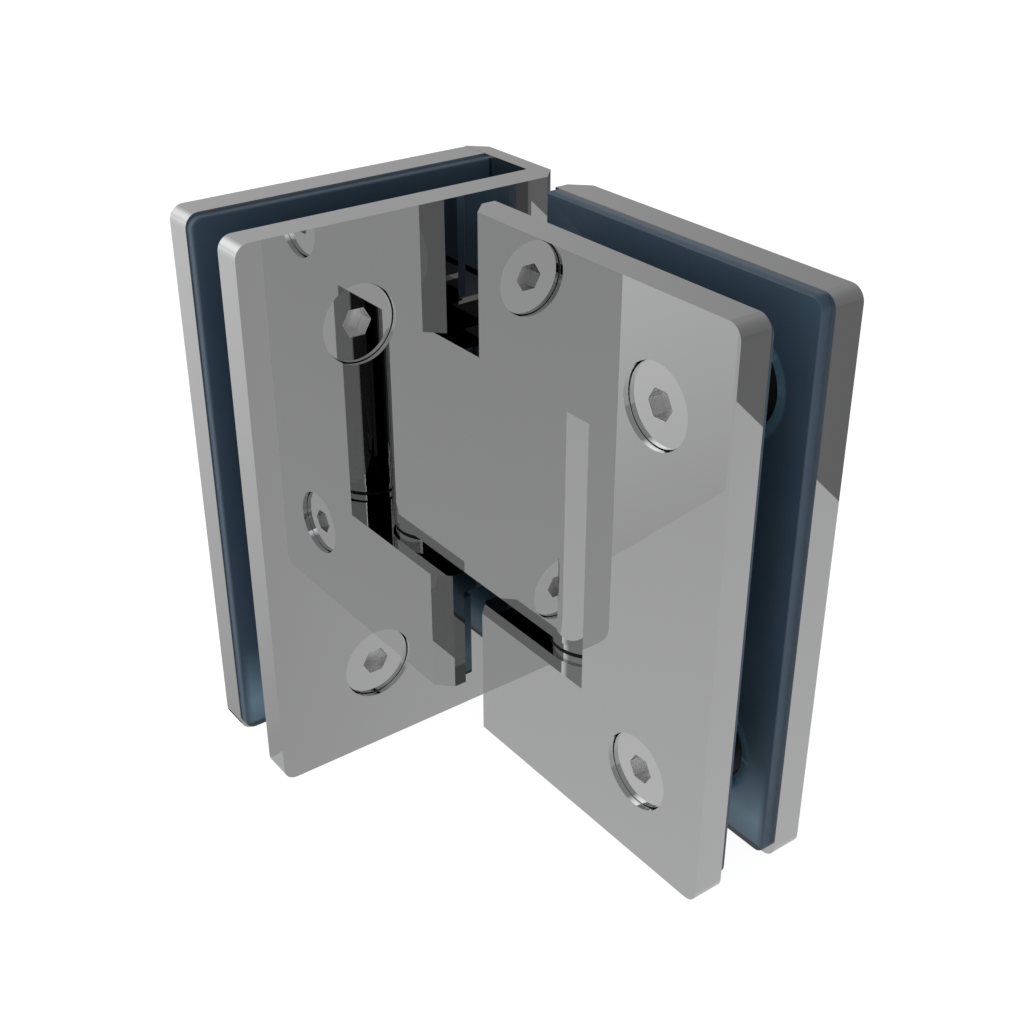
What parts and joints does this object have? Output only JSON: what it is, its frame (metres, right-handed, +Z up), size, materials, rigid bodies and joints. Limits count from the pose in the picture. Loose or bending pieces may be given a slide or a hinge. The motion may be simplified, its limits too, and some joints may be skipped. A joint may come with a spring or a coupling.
{
  "type": "glass door hinge",
  "caption": "Glass-to-glass door hinge at a right angle: two clamping leaves with gaskets, joined by a knuckle on a pin with spring plungers.",
  "frame": {"origin": "under the middle of the whole hinge, at the height of the leaves' lower edges", "axes": "+Z up along the pin, +X along the door leaf away from the pin, +Y along the fixed leaf towards the outer corner"},
  "size_m": [0.0812, 0.055, 0.09],
  "materials": {
    "polished_chrome": "mirror polished",
    "screw_chrome": "polished, a little duller than the plates",
    "blue_gasket": "smooth, dark blue",
    "black_nylon": "matte black",
    "pin_steel": "ground steel",
    "bush_bronze": "plain bronze",
    "spring_steel": "drawn wire",
    "dark_steel": "black oxide"
  },
  "bodies": {
    "fixed_leaf": {"fixed_leaf_front": "polished_chrome", "fixed_leaf_back": "polished_chrome", "fixed_gasket_front": "blue_gasket", "fixed_gasket_back": "blue_gasket", "fixed_screw_upper": "screw_chrome", "fixed_screw_lower": "screw_chrome", "fixed_sleeve_upper": "black_nylon", "fixed_sleeve_lower": "black_nylon", "knuckle_bush_upper": "bush_bronze", "knuckle_bush_lower": "bush_bronze", "detent_spring_upper": "spring_steel", "detent_spring_lower": "spring_steel", "detent_plug_upper": "dark_steel", "detent_plug_lower": "dark_steel"},
    "detent_plunger_upper": {"detent_plunger_upper": "pin_steel"},
    "detent_plunger_lower": {"detent_plunger_lower": "pin_steel"},
    "door_leaf": {"door_plate_front": "polished_chrome", "door_plate_back": "polished_chrome", "pivot_housing": "polished_chrome", "door_gasket_front": "blue_gasket", "door_gasket_back": "blue_gasket", "door_screw_upper": "screw_chrome", "door_screw_lower": "screw_chrome", "door_sleeve_upper": "black_nylon", "door_sleeve_lower": "black_nylon", "pivot_pin": "pin_steel", "thrust_washer_upper": "black_nylon", "thrust_washer_lower": "black_nylon", "pin_lock_screw_upper": "dark_steel", "pin_lock_screw_lower": "dark_steel", "housing_screw_upper": "dark_steel", "housing_screw_lower": "dark_steel"}
  },
  "joints": [
    {"name": "door_swing", "type": "hinge", "parent": "fixed_leaf", "child": "door_leaf", "pos_m": [0.00335, 0.017, 0], "axis": [0, 0, 1], "range_deg": [-90, 90]},
    {"name": "plunger_upper_slide", "type": "slide", "parent": "fixed_leaf", "child": "detent_plunger_upper", "axis": [1, 0, 0], "range_m": [0, 0.0005]},
    {"name": "plunger_lower_slide", "type": "slide", "parent": "fixed_leaf", "child": "detent_plunger_lower", "axis": [1, 0, 0], "range_m": [0, 0.0005]}
  ]
}
